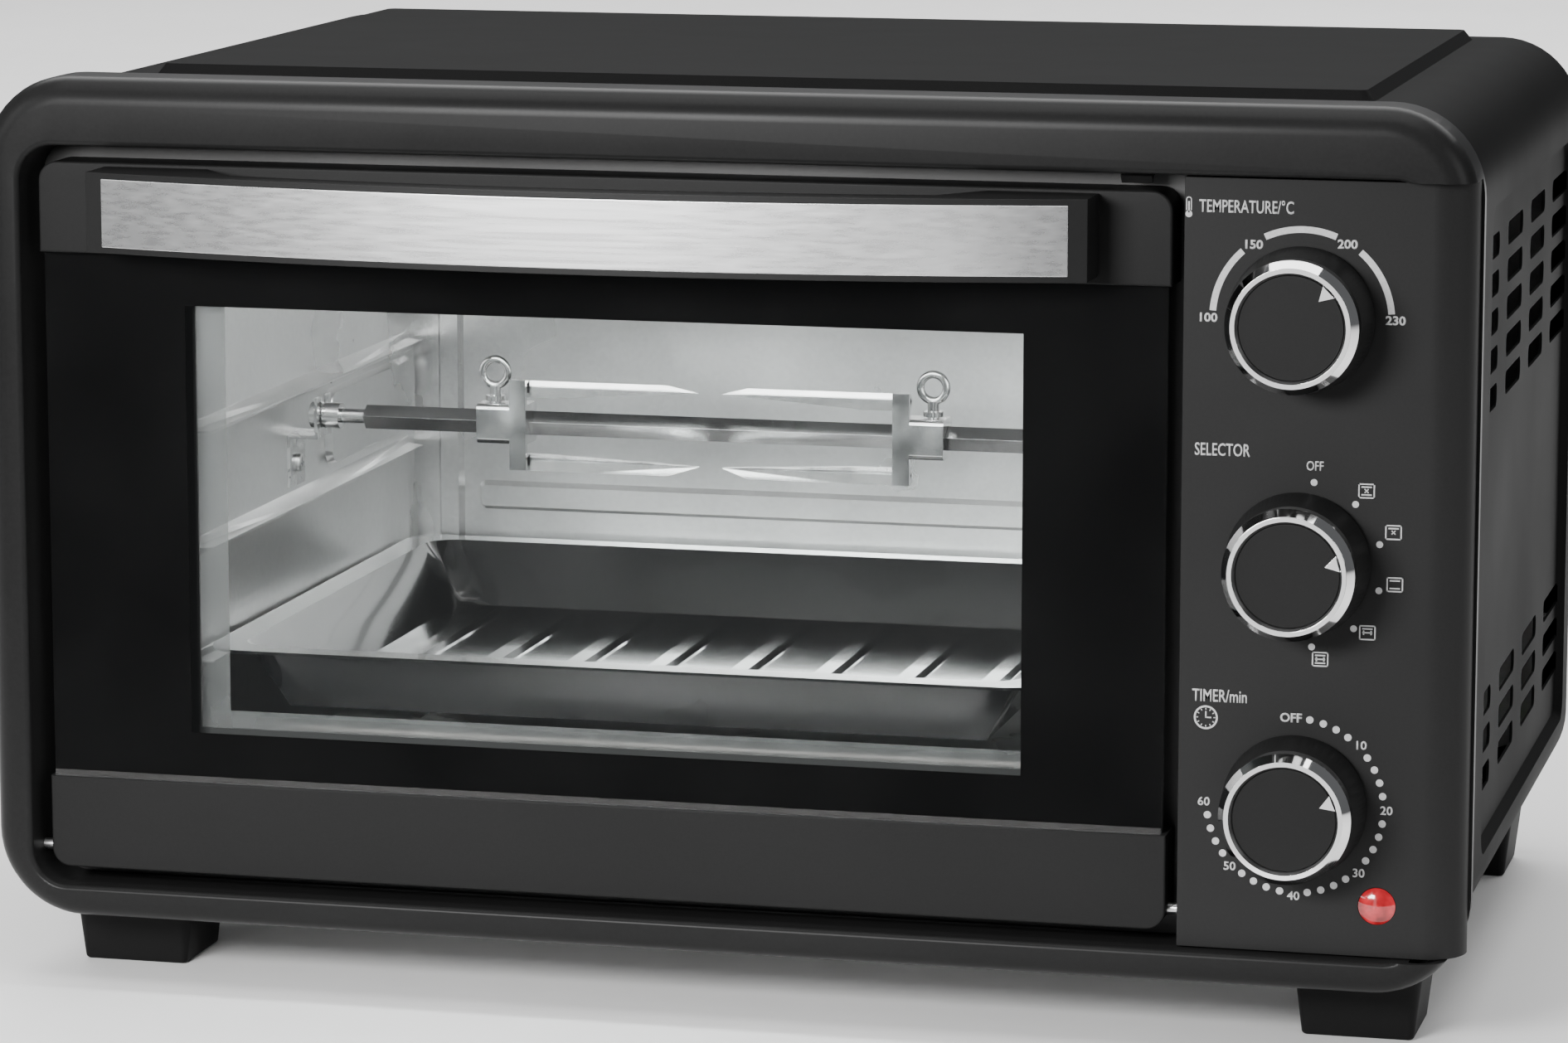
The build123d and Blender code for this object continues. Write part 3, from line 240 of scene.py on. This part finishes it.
# %% [markdown]
# ## Glass
# Both panes are clear toughened glass. A shader that bends light keeps lamps out of a closed oven,
# so for shadow rays the pane turns into plain transparency and the studio light reaches the cavity.

# %% Glass
def glass(name, tint):
    material, tree, shader = new_material(name)
    shader.inputs["Base Color"].default_value = (*tint, 1)
    shader.inputs["Transmission Weight"].default_value = 1.0
    shader.inputs["IOR"].default_value = 1.45
    drive_roughness(tree, shader, grain(tree, 6.0), 0.0, 0.006)
    clear = node_of(tree, "ShaderNodeBsdfTransparent")
    clear.inputs["Color"].default_value = (0.96, 0.97, 0.97, 1)
    path = node_of(tree, "ShaderNodeLightPath")
    mix = node_of(tree, "ShaderNodeMixShader")
    output = tree.nodes["Material Output"]
    tree.links.new(path.outputs["Is Shadow Ray"], mix.inputs[0])
    tree.links.new(shader.outputs["BSDF"], mix.inputs[1])
    tree.links.new(clear.outputs["BSDF"], mix.inputs[2])
    tree.links.new(mix.outputs["Shader"], output.inputs["Surface"])
    finishes[name] = material
    return material


glass("door_glass", (0.97, 0.985, 0.98))
glass("inner_glass", (0.97, 0.985, 0.98))

# %% [markdown]
# ## Dressing the model's own nodes
# Every node takes the finish its record names. A node with curved or moulded faces is shown by a
# welded copy instead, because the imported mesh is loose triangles: welding lets light roll over the
# curves, and a fine bevel gives each corner the small highlight that real edges have.

# %% Assign finishes
def dress(obj, finish):
    obj.data.materials.clear()
    obj.data.materials.append(finishes[finish])


for name, node in nodes.items():
    dress(node, slot_of_node[name])


def place_piece(obj, body):
    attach(obj, body)
    return obj


def soften(name, width, segments=2, angle=32.0):
    """A welded copy of a node with smooth shading, and a fine bevel when a width is given, shown in its
    place.
    """
    work = bmesh.new()
    work.from_mesh(nodes[name].data)
    bmesh.ops.remove_doubles(work, verts=work.verts, dist=1e-6)
    bmesh.ops.dissolve_limit(work, angle_limit=math.radians(0.5), verts=work.verts, edges=work.edges,
                             delimit={"NORMAL"})
    sharp = math.radians(angle)
    for face in work.faces:
        face.smooth = True
    for edge in work.edges:
        edge.smooth = len(edge.link_faces) == 2 and edge.calc_face_angle(0.0) < sharp
    mesh = bpy.data.meshes.new(name + "_finish")
    work.to_mesh(mesh)
    work.free()
    copy = bpy.data.objects.new(name + "_finish", mesh)
    bpy.context.scene.collection.objects.link(copy)
    if width:
        bevel = copy.modifiers.new("edge", "BEVEL")
        bevel.width = width
        bevel.segments = segments
        bevel.limit_method = "ANGLE"
        bevel.angle_limit = sharp
        bevel.harden_normals = True
    dress(copy, slot_of_node[name])
    place_piece(copy, body_of_node[name])
    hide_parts(name)
    return copy


edge_widths = {
    "front_bezel": 0.3 * mm, "control_panel": 0.4 * mm, "outer_cover": 0, "door_top_cap": 0,
    "door_bottom_rail": 0, "handle_body": 0.8 * mm, "handle_strip": 0.25 * mm,
    "knob_temperature": 0.3 * mm, "knob_selector": 0.3 * mm, "knob_timer": 0.3 * mm,
    "knob_ring_temperature": 0.25 * mm, "knob_ring_selector": 0.25 * mm, "knob_ring_timer": 0.25 * mm,
    "baking_tray": 0, "pilot_lens": 0, "foot_front_left": 0, "foot_front_right": 0,
    "foot_rear_left": 0, "foot_rear_right": 0, "cavity_left_wall": 0, "cavity_right_wall": 0,
    "cavity_rear_wall": 0, "cavity_floor": 0, "heater_upper_front": 0, "heater_upper_rear": 0,
    "heater_lower_front": 0, "heater_lower_rear": 0, "spit_rod": 0.2 * mm, "drive_socket": 0.2 * mm,
    "fork_left": 0.2 * mm, "fork_right": 0.2 * mm, "thumb_screw_left": 0, "thumb_screw_right": 0,
    "spit_bracket": 0.15 * mm, "spit_bracket_screw": 0, "rear_screws": 0, "cord_gland": 0.3 * mm,
    "hinge_pins": 0.2 * mm, "door_catch": 0,
}
for name, width in edge_widths.items():
    soften(name, width)
print("softened", len(edge_widths), "nodes")

# %% [markdown]
# ## The black border of the door glass
# On the real door the glass is printed black on its back, round a clear window. A thin plate with a
# window cut in it, lying on the back of the glass, is that print: seen through the glass it has the
# deep gloss that a painted surface would lack.

# %% Window border
def plate_piece(name, work, body, finish):
    mesh = bpy.data.meshes.new(name)
    work.to_mesh(mesh)
    work.free()
    obj = bpy.data.objects.new(name, mesh)
    bpy.context.scene.collection.objects.link(obj)
    obj.data.materials.append(finishes[finish])
    return place_piece(obj, body)


def ring_plate(outer_low, outer_high, inner_low, inner_high, y, thickness):
    """A flat frame across Y, between two rectangles given by their (x, z) corners."""
    work = bmesh.new()
    loops = []
    for low, high in ((outer_low, outer_high), (inner_low, inner_high)):
        corners = [(low[0], low[1]), (high[0], low[1]), (high[0], high[1]), (low[0], high[1])]
        verts = [work.verts.new((x, y, z)) for x, z in corners]
        edges = [work.edges.new((verts[i], verts[(i + 1) % 4])) for i in range(4)]
        loops += edges
    bmesh.ops.bridge_loops(work, edges=loops)
    made = bmesh.ops.extrude_face_region(work, geom=list(work.faces))
    moved = [v for v in made["geom"] if isinstance(v, bmesh.types.BMVert)]
    bmesh.ops.translate(work, verts=moved, vec=(0, thickness, 0))
    bmesh.ops.recalc_face_normals(work, faces=work.faces)
    return work


border_ink, tree, shader = new_material("glass_border")
drive_tone(tree, shader, grain(tree, 20.0), grey(0.002), grey(0.004))
drive_roughness(tree, shader, grain(tree, 16.0), 0.30, 0.40)
shader.inputs["Specular IOR Level"].default_value = 0.0
finishes["glass_border"] = border_ink

window_low = (-181.0 * mm, 87.0 * mm)
window_high = (104.0 * mm, 232.0 * mm)
border = ring_plate((glass_low.x, glass_low.z), (glass_high.x, glass_high.z), window_low, window_high,
                    glass_high.y - 0.20 * mm, 0.15 * mm)
plate_piece("glass_border", border, "door", "glass_border")
print("window in mm", [round(v / mm, 1) for v in (*window_low, *window_high)])

# %% [markdown]
# ## Print on the panel
# The panel carries its scales in pale grey ink: words, numbers, dots and small pictures of the
# heating modes. Ink is a very thin raised layer, so each mark is a flat mesh given a few hundredths
# of a millimetre of thickness, and one ink material covers them all.

# %% Ink helpers
ink, tree, shader = new_material("print_ink")
drive_tone(tree, shader, grain(tree, 700.0), grey(0.30), grey(0.40))
drive_roughness(tree, shader, grain(tree, 300.0), 0.5, 0.6)
finishes["print_ink"] = ink

marks = bmesh.new()
ink_film = 0.03 * mm
ink_y = face_y - 0.04 * mm
cap_height = 0.72    # of a capital letter, in the font's own unit


def lie_flat(x, z, turn=0.0):
    """From a drawing in XY, facing +Z, to the panel's face at (x, z), turned clockwise."""
    return (Matrix.Translation((x, ink_y, z)) @ Matrix.Rotation(math.radians(90), 4, "X")
            @ Matrix.Rotation(-turn, 4, "Z"))


def ink_dot(x, z, radius):
    bmesh.ops.create_circle(marks, cap_ends=True, radius=radius, segments=20, matrix=lie_flat(x, z))


def ink_bar(x, z, length, width, turn=0.0):
    size = Matrix.Diagonal((length, width, 1, 1))
    bmesh.ops.create_grid(marks, x_segments=1, y_segments=1, size=0.5,
                          matrix=lie_flat(x, z, turn) @ size)


def ink_arc(x, z, radius, width, start, end, steps=24):
    """An arc band; angles in degrees, clockwise from straight up."""
    matrix = lie_flat(x, z, math.radians(start))
    ends = [marks.verts.new(matrix @ Vector((0, radius + side * width / 2, 0))) for side in (-1, 1)]
    edge = marks.edges.new(ends)
    bmesh.ops.spin(marks, geom=[*ends, edge], cent=(x, ink_y, z), axis=(0, 1, 0),
                   dvec=(0, 0, 0), angle=math.radians(end - start), steps=steps)


def ink_box(x, z, width, height, line):
    for side in (-1, 1):
        ink_bar(x, z + side * (height - line) / 2, width, line)
        ink_bar(x + side * (width - line) / 2, z, line, height)


def ink_text(words, x, z, height, squeeze=1.0, weight=0.0, centred=False):
    """Text starting at (x, z), or centred there, turned into mesh before it is placed."""
    curve = bpy.data.curves.new("words", "FONT")
    curve.body = words
    curve.resolution_u = 3
    curve.offset = weight
    holder = bpy.data.objects.new("words", curve)
    bpy.context.scene.collection.objects.link(holder)
    bpy.context.view_layer.update()
    mesh = bpy.data.meshes.new_from_object(holder.evaluated_get(bpy.context.evaluated_depsgraph_get()))
    bpy.data.objects.remove(holder)
    scale = height / cap_height
    width = max(v.co.x for v in mesh.vertices) * scale * squeeze
    if centred:
        x, z = x - width / 2, z - height / 2
    mesh.transform(lie_flat(x, z) @ Matrix.Diagonal((scale * squeeze, scale, 1, 1)))
    marks.from_mesh(mesh)
    bpy.data.meshes.remove(mesh)
    return width


# %% Words and numbers
title_height = 4.1 * mm
title_weight = 0.012
titles = (
    ("TEMPERATURE/°C", 161.2, 273.4, 0.67),
    ("SELECTOR", 160.6, 195.4, 0.67),
    ("TIMER/min", 160.8, 115.4, 0.70),
)
for words, x, z, squeeze in titles:
    width = ink_text(words, x * mm, z * mm, title_height, squeeze, title_weight)
    print(words, "width in mm", round(width / mm, 1))

# %% [markdown]
# ## Scales round the dials
# Each dial has its own kind of scale: three broad arcs for the temperature, six dots and pictures for
# the heating programs, and a ring of minutes for the timer. They are drawn from the dial's own axis.

# %% Scales
def around(dial, radius, degrees):
    x, z = dials[dial]
    turn = math.radians(degrees)
    return x + radius * math.sin(turn), z + radius * math.cos(turn)


temperature_radius = 28.6 * mm
arc_width = 2.1 * mm
for start, end in ((-86, -42), (-25, 22), (40, 85)):
    ink_arc(*dials["temperature"], temperature_radius, arc_width, start, end)
number_height = 2.8 * mm
bold = 0.03
degree_numbers = (
    ("100", 164.3, 239.8),
    ("150", 178.6, 263.5),
    ("200", 208.7, 264.4),
    ("230", 224.3, 240.6),
)
for words, x, z in degree_numbers:
    ink_text(words, x * mm, z * mm, number_height, 1.1, bold, centred=True)

program_radius = 27.0 * mm
for degrees in range(10, 171, 32):
    ink_dot(*around("selector", program_radius, degrees), 1.1 * mm)
ink_text("OFF", 199.4 * mm, 193.3 * mm, 3.1 * mm, 0.74, 0.012, centred=True)

minute_radius = 28.65 * mm
for step in range(1, 31):
    if step % 5:
        ink_dot(*around("timer", minute_radius, step * 9), 1.2 * mm)
    else:
        ink_text(str(step * 2), *around("timer", minute_radius + 0.9 * mm, step * 9), 2.8 * mm, 1.05, 0.02,
                 centred=True)
ink_text("OFF", 192.9 * mm, 111.4 * mm, 2.9 * mm, 1.0, 0.03, centred=True)
print("scale pieces", len(marks.faces))

# %% Program pictures
icon_width = 5.3 * mm
icon_height = 4.8 * mm
heater_length = icon_width - 2.0 * mm
heater_inset = 1.15 * mm      # from the picture's edge to its heating bar
line = 0.42 * mm
heating = 0.45 * mm


def ink_fan(x, z):
    """Four blades, each a short bar standing off the middle."""
    reach = 0.45 * mm
    for blade in range(4):
        turn = math.radians(45 + blade * 90)
        blade_x = x + reach * math.sin(turn)
        blade_z = z + reach * math.cos(turn)
        ink_bar(blade_x, blade_z, 0.35 * mm, 0.8 * mm, turn)


def ink_spit(x, z):
    ink_bar(x, z, 3.2 * mm, 0.45 * mm)
    for side in (-1, 1):
        ink_bar(x + side * 1.2 * mm, z, 0.45 * mm, 1.4 * mm)


programs = (
    (216.0, 185.8, True, True, ink_fan),
    (224.8, 172.8, True, False, ink_fan),
    (225.5, 156.0, True, True, None),
    (217.0, 140.1, True, False, ink_spit),
    (202.0, 130.8, True, True, ink_spit),
)
for x, z, top, bottom, middle in programs:
    x, z = x * mm, z * mm
    ink_box(x, z, icon_width, icon_height, line)
    if top:
        ink_bar(x, z + icon_height / 2 - heater_inset, heater_length, heating)
    if bottom:
        ink_bar(x, z - icon_height / 2 + heater_inset, heater_length, heating)
    if middle:
        middle(x, z)

clock_x, clock_z, clock_radius = 165.3 * mm, 110.1 * mm, 3.6 * mm
ink_arc(clock_x, clock_z, clock_radius, 0.6 * mm, 0, 360, 36)
tick_radius = 2.8 * mm
tick_width, tick_length = 0.3 * mm, 0.6 * mm
hand_width = 0.45 * mm
for hour in range(0, 360, 30):
    turn = math.radians(hour)
    tick_x = clock_x + tick_radius * math.sin(turn)
    tick_z = clock_z + tick_radius * math.cos(turn)
    ink_bar(tick_x, tick_z, tick_width, tick_length, turn)
ink_bar(clock_x, clock_z + 0.9 * mm, hand_width, 2.2 * mm)
ink_bar(clock_x + 0.8 * mm, clock_z, 1.9 * mm, hand_width)

# The thermometer: a bulb, a column of liquid and a round-topped tube.
bulb_x, bulb_z = 157.9 * mm, 272.6 * mm
tube_half, tube_line = 0.75 * mm, 0.3 * mm
ink_dot(bulb_x, bulb_z, 1.1 * mm)
ink_bar(bulb_x, bulb_z + 2.2 * mm, 0.5 * mm, 3.6 * mm)
ink_arc(bulb_x, bulb_z + 4.6 * mm, tube_half, tube_line, -90, 90, 8)
for side in (-1, 1):
    ink_bar(bulb_x + side * tube_half, bulb_z + 2.9 * mm, tube_line, 3.4 * mm)
print("print faces", len(marks.faces))

# %% [markdown]
# ## From drawing to ink
# Pad-printed ink is a film a few hundredths of a millimetre thick. The flat drawing becomes one mesh
# lying a hair in front of the panel, so it never fights with the panel's face for the same place.

# %% Panel print
ink, tree, shader = new_material("print_ink")
drive_tone(tree, shader, grain(tree, 1500.0), grey(0.42), grey(0.50))
drive_roughness(tree, shader, grain(tree, 900.0), 0.5, 0.62)
finishes["print_ink"] = ink
bmesh.ops.dissolve_degenerate(marks, dist=1e-7, edges=marks.edges)
for face in marks.faces:
    face.normal_update()
    if face.normal.y > 0:
        face.normal_flip()
panel_print = plate_piece("panel_print", marks, "case", "print_ink")
film = panel_print.modifiers.new("film", "SOLIDIFY")
film.thickness = ink_film
film.offset = -1.0
print("panel print faces", len(panel_print.data.polygons))

# %% [markdown]
# ## The cushion behind the inner pane, darkened to painted shade
# The inner pane lies on a band of milky silicone inside the door frame. It shows as a grey strip
# along the left and the bottom edge of the window; its near-black grey is painted shade, set dark so the
# lit band looks as shaded as under the tray.

# %% Silicone band
shaded_silicone, tree, shader = new_material("silicone_with_painted_shade")
# Painted shade: the silicone's grey is set near black so the band reads as shaded; the real cushion is a
# pale milky grey.
drive_tone(tree, shader, grain(tree, 90.0), grey(0.05), grey(0.08))
drive_roughness(tree, shader, grain(tree, 60.0), 0.35, 0.5)
shader.inputs["Alpha"].default_value = 0.45
finishes["silicone_with_painted_shade"] = shaded_silicone
band_left = 10.4 * mm
band_bottom = 6.1 * mm
band_edge = 2.0 * mm
shaded_seal_band = ring_plate((pane_low.x + band_edge, pane_low.z + band_edge),
                       (pane_high.x - band_edge, pane_high.z - band_edge),
                       (window_low[0] + band_left, window_low[1] + band_bottom),
                       (window_high[0] + band_edge, window_high[1] + band_edge),
                       pane_high.y + 0.05 * mm, 0.3 * mm)
shaded_seal_piece = plate_piece("shaded_seal_band", shaded_seal_band, "door", "silicone_with_painted_shade")
print("silicone band faces", len(shaded_seal_piece.data.polygons))

# %% [markdown]
# ## Studio
# A pale worktop under one broad soft light, with a weaker one at each side and a large, strong one
# over the worktop behind the oven. Three more are aimed at single parts: a strip light at the handle,
# a narrow card at the dials and a lamp inside the cavity. None of them shows itself to the camera.
# The worktop ends about 0.3 m in front of the door: past it the dark room is what the panes mirror,
# and that keeps the door glass deep black.

# %% Floor
front_run, back_run, half_span = 0.46, 12.0, 10.0
work = bmesh.new()
corners = [(-half_span, -front_run), (half_span, -front_run), (half_span, back_run), (-half_span, back_run)]
work.faces.new([work.verts.new((x, y, 0.0)) for x, y in corners])
floor_mesh = bpy.data.meshes.new("studio_floor")
work.to_mesh(floor_mesh)
work.free()
floor = bpy.data.objects.new("studio_floor", floor_mesh)
bpy.context.scene.collection.objects.link(floor)
paper, tree, shader = new_material("pale_worktop")
drive_tone(tree, shader, grain(tree, 3.0), grey(0.86, 0.005), grey(0.90, 0.005))
drive_roughness(tree, shader, grain(tree, 40.0), 0.55, 0.65)
floor_mesh.materials.append(paper)
print("floor spans m", 2 * half_span, front_run + back_run)

# %% Lights
def softbox(name, place, target, size, power, height=None):
    data = bpy.data.lights.new(name, "AREA")
    data.energy = power
    data.shape = "RECTANGLE"
    data.size = size
    data.size_y = height or size
    lamp = bpy.data.objects.new(name, data)
    bpy.context.scene.collection.objects.link(lamp)
    lamp.location = place
    lamp.visible_camera = False
    lamp.rotation_euler = (Vector(target) - Vector(place)).to_track_quat("-Z", "Y").to_euler()
    return lamp


lights = [
    softbox("overhead", (0.0, -0.2, 1.9), (0.0, 0.1, 0.1), 1.8, 30.0, 1.4),
    softbox("right_side", (2.0, -0.9, 0.9), (0.1, 0.0, 0.15), 1.0, 12.0),
    softbox("left_side", (-1.9, -1.4, 1.0), (-0.1, 0.0, 0.15), 1.0, 14.0),
    softbox("strip_light", (-0.30, -1.15, 0.50), (-0.05, -0.18, 0.265), 0.50, 21.0, 0.24),
    softbox("dial_card", (0.13, -0.60, 0.06), (0.19, -0.144, 0.11), 0.09, 0.11, 0.34),
    softbox("rear_floor", (0.0, 3.2, 2.6), (0.0, 3.4, 0.0), 5.0, 260.0, 4.0),
    softbox("cavity_lamp", (-0.04, -0.105, 0.268), (-0.04, 0.0, 0.12), 0.24, 1.0, 0.02),
]
world = bpy.data.worlds.new("studio")
world.use_nodes = True
world.node_tree.nodes["Background"].inputs["Color"].default_value = (0.80, 0.82, 0.85, 1)
world.node_tree.nodes["Background"].inputs["Strength"].default_value = 0.14
bpy.context.scene.world = world

# %% [markdown]
# ## Camera
# A long lens from a little above the worktop and to the right keeps the upright edges nearly
# parallel and shows the front, a sliver of the right side and the top.

# %% Camera
azimuth, elevation = math.radians(14.08), math.radians(9.34)
forward = Vector((-math.sin(azimuth) * math.cos(elevation), math.cos(azimuth) * math.cos(elevation),
                  -math.sin(elevation)))
camera_data = bpy.data.cameras.new("camera")
camera_data.lens = 130.05
camera_data.sensor_width = 36.0
camera_data.shift_y = -0.018
camera_data.clip_start = 0.05
camera = bpy.data.objects.new("camera", camera_data)
camera.location = (0.4680, -1.9077, 0.4766)
camera.rotation_euler = forward.to_track_quat("-Z", "Y").to_euler()
bpy.context.scene.collection.objects.link(camera)
bpy.context.scene.camera = camera
